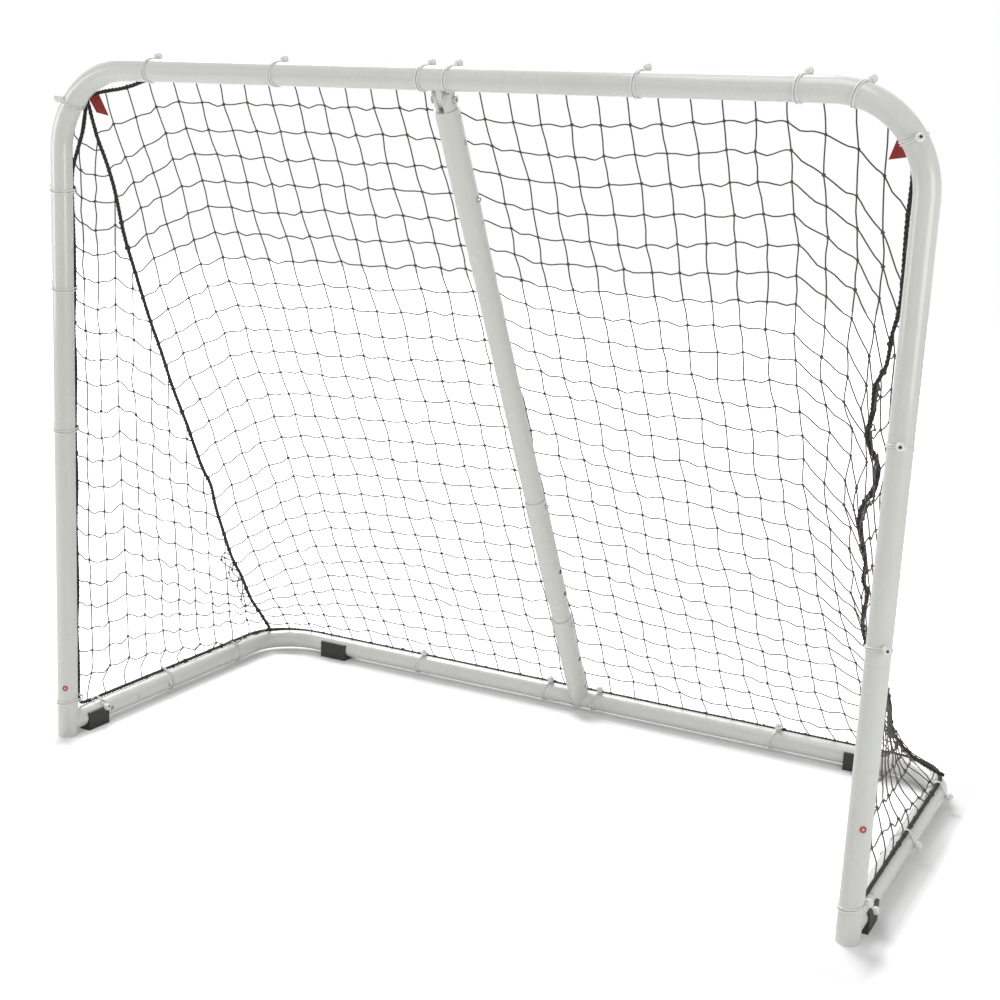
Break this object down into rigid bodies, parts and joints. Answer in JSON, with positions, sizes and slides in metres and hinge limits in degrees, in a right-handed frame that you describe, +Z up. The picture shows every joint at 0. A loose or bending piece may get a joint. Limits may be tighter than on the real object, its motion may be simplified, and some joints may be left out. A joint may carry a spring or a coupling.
{
  "type": "hockey goal net",
  "caption": "Folding steel-tube hockey goal with a sloping net held on by ball bungees, a floor frame behind, and a telescopic centre brace.",
  "frame": {"origin": "on the floor under the centre of the goal's bounding box", "axes": "+X along the crossbar to the goal's right as seen from in front, -Y out of the mouth towards the shooter, +Z up"},
  "size_m": [1.4, 0.6744, 1.1172],
  "materials": {
    "frame_paint": "pale grey-white powder coat, satin",
    "zinc_steel": "zinc plated",
    "snap_button": "polished",
    "foot_rubber": "matt black rubber",
    "black_rope": "braided polyester rope",
    "net_twine": "knotted black twine",
    "bungee_cord": "white shock cord with a moulded ball",
    "red_plastic": "moulded red ring",
    "red_fabric": "woven red webbing"
  },
  "bodies": {
    "front_frame": {"brace_bolt": "zinc_steel", "brace_lug": "frame_paint", "corner_bungee_left": "bungee_cord", "corner_bungee_right": "bungee_cord", "corner_tag_left": "red_fabric", "corner_tag_right": "red_fabric", "corner_tube_left": "frame_paint", "corner_tube_right": "frame_paint", "crossbar_bungee_1": "bungee_cord", "crossbar_bungee_2": "bungee_cord", "crossbar_bungee_3": "bungee_cord", "crossbar_bungee_4": "bungee_cord", "crossbar_bungee_5": "bungee_cord", "crossbar_bungee_6": "bungee_cord", "crossbar_bungee_7": "bungee_cord", "front_foot_left": "foot_rubber", "front_foot_right": "foot_rubber", "hinge_bolt_left": "zinc_steel", "hinge_bolt_right": "zinc_steel", "hinge_stub_left": "frame_paint", "hinge_stub_right": "frame_paint", "net_back": "net_twine", "net_left": "net_twine", "net_right": "net_twine", "post_bungees_left": "bungee_cord", "post_bungees_right": "bungee_cord", "post_left": "frame_paint", "post_plug_left": "red_plastic", "post_plug_right": "red_plastic", "post_right": "frame_paint", "rope_front": "black_rope", "seam_rope_left": "black_rope", "seam_rope_right": "black_rope"},
    "base_knuckles": {"hinge_knuckle_left": "frame_paint", "hinge_knuckle_right": "frame_paint", "side_clip_left": "zinc_steel", "side_clip_right": "zinc_steel"},
    "base_frame": {"floor_tube_left": "frame_paint", "floor_tube_right": "frame_paint", "rear_foot_left": "foot_rubber", "rear_foot_right": "foot_rubber", "rear_lug": "frame_paint", "brace_pin": "zinc_steel", "rope_base": "black_rope", "rear_bungee_1": "bungee_cord", "rear_bungee_2": "bungee_cord", "rear_bungee_3": "bungee_cord", "rear_bungee_4": "bungee_cord", "side_bungees_left": "bungee_cord", "side_bungees_right": "bungee_cord"},
    "brace_upper": {"brace_knuckle": "frame_paint", "brace_upper": "frame_paint", "head_spring": "zinc_steel", "middle_clip": "zinc_steel"},
    "brace_lower": {"brace_middle": "frame_paint", "brace_lower": "frame_paint", "lower_spring": "zinc_steel"},
    "head_button": {"head_button": "snap_button"},
    "lower_button": {"lower_button": "snap_button"}
  },
  "joints": [
    {"name": "base_fold", "type": "hinge", "parent": "front_frame", "child": "base_knuckles", "pos_m": [0, -0.21404, 0.022], "axis": [1, 0, 0], "range_deg": [0, 90], "deforming": ["net_back", "net_left", "net_right", "seam_rope_left", "seam_rope_right"]},
    {"name": "base_slide", "type": "slide", "parent": "base_knuckles", "child": "base_frame", "axis": [0, 1, 0], "range_m": [0, 0.089], "deforming": ["side_clip_left", "side_clip_right"]},
    {"name": "brace_swing", "type": "hinge", "parent": "front_frame", "child": "brace_upper", "pos_m": [0, -0.29147, 1.06119], "axis": [1, 0, 0], "range_deg": [-30.14, 0]},
    {"name": "brace_middle_slide", "type": "slide", "parent": "brace_upper", "child": "brace_lower", "axis": [0, -0.5022, 0.8648], "range_m": [0, 0.1991], "deforming": ["middle_clip"]},
    {"name": "head_button_press", "type": "slide", "parent": "brace_upper", "child": "head_button", "axis": [-1, 0, 0], "range_m": [0, 0.004], "stiffness_N_per_m": 1200, "deforming": ["head_spring"]},
    {"name": "lower_button_press", "type": "slide", "parent": "brace_lower", "child": "lower_button", "axis": [-1, 0, 0], "range_m": [0, 0.004], "stiffness_N_per_m": 1200, "deforming": ["lower_spring"]}
  ],
  "couplings": [
    {"joint": "base_slide", "follows": "base_fold", "m_per_rad": 0.056659},
    {"joint": "brace_swing", "follows": "base_fold", "ratio": -0.33492},
    {"joint": "brace_middle_slide", "follows": "base_fold", "m_per_rad": 0.12669}
  ]
}
